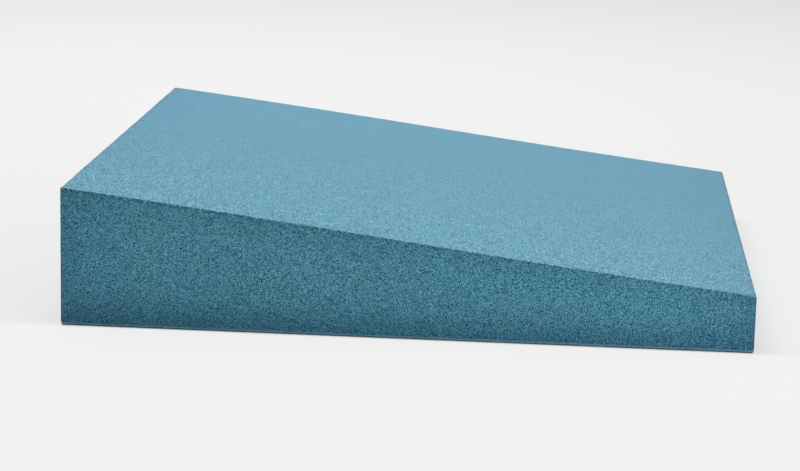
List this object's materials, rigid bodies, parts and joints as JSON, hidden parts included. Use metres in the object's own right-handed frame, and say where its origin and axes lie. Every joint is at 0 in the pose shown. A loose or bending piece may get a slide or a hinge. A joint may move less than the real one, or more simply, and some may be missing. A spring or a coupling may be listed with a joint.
{
  "type": "acoustic wall panel",
  "caption": "Wedge-shaped block of open-cell foam with a flat back that is glued to a wall and a sloping front face that absorbs sound.",
  "frame": {"origin": "centre of the panel's box, on the flat back face", "axes": "+Z from the wall into the room, square to the back; the thick end is on -X and the thin end on +X; the panel is the same on +Y and -Y"},
  "size_m": [0.3, 0.3, 0.0609],
  "materials": {
    "foam": "matt, teal-blue dyed open-cell polyurethane foam, wire cut on every face"
  },
  "bodies": {
    "root": {"foam_panel": "foam"}
  },
  "joints": []
}
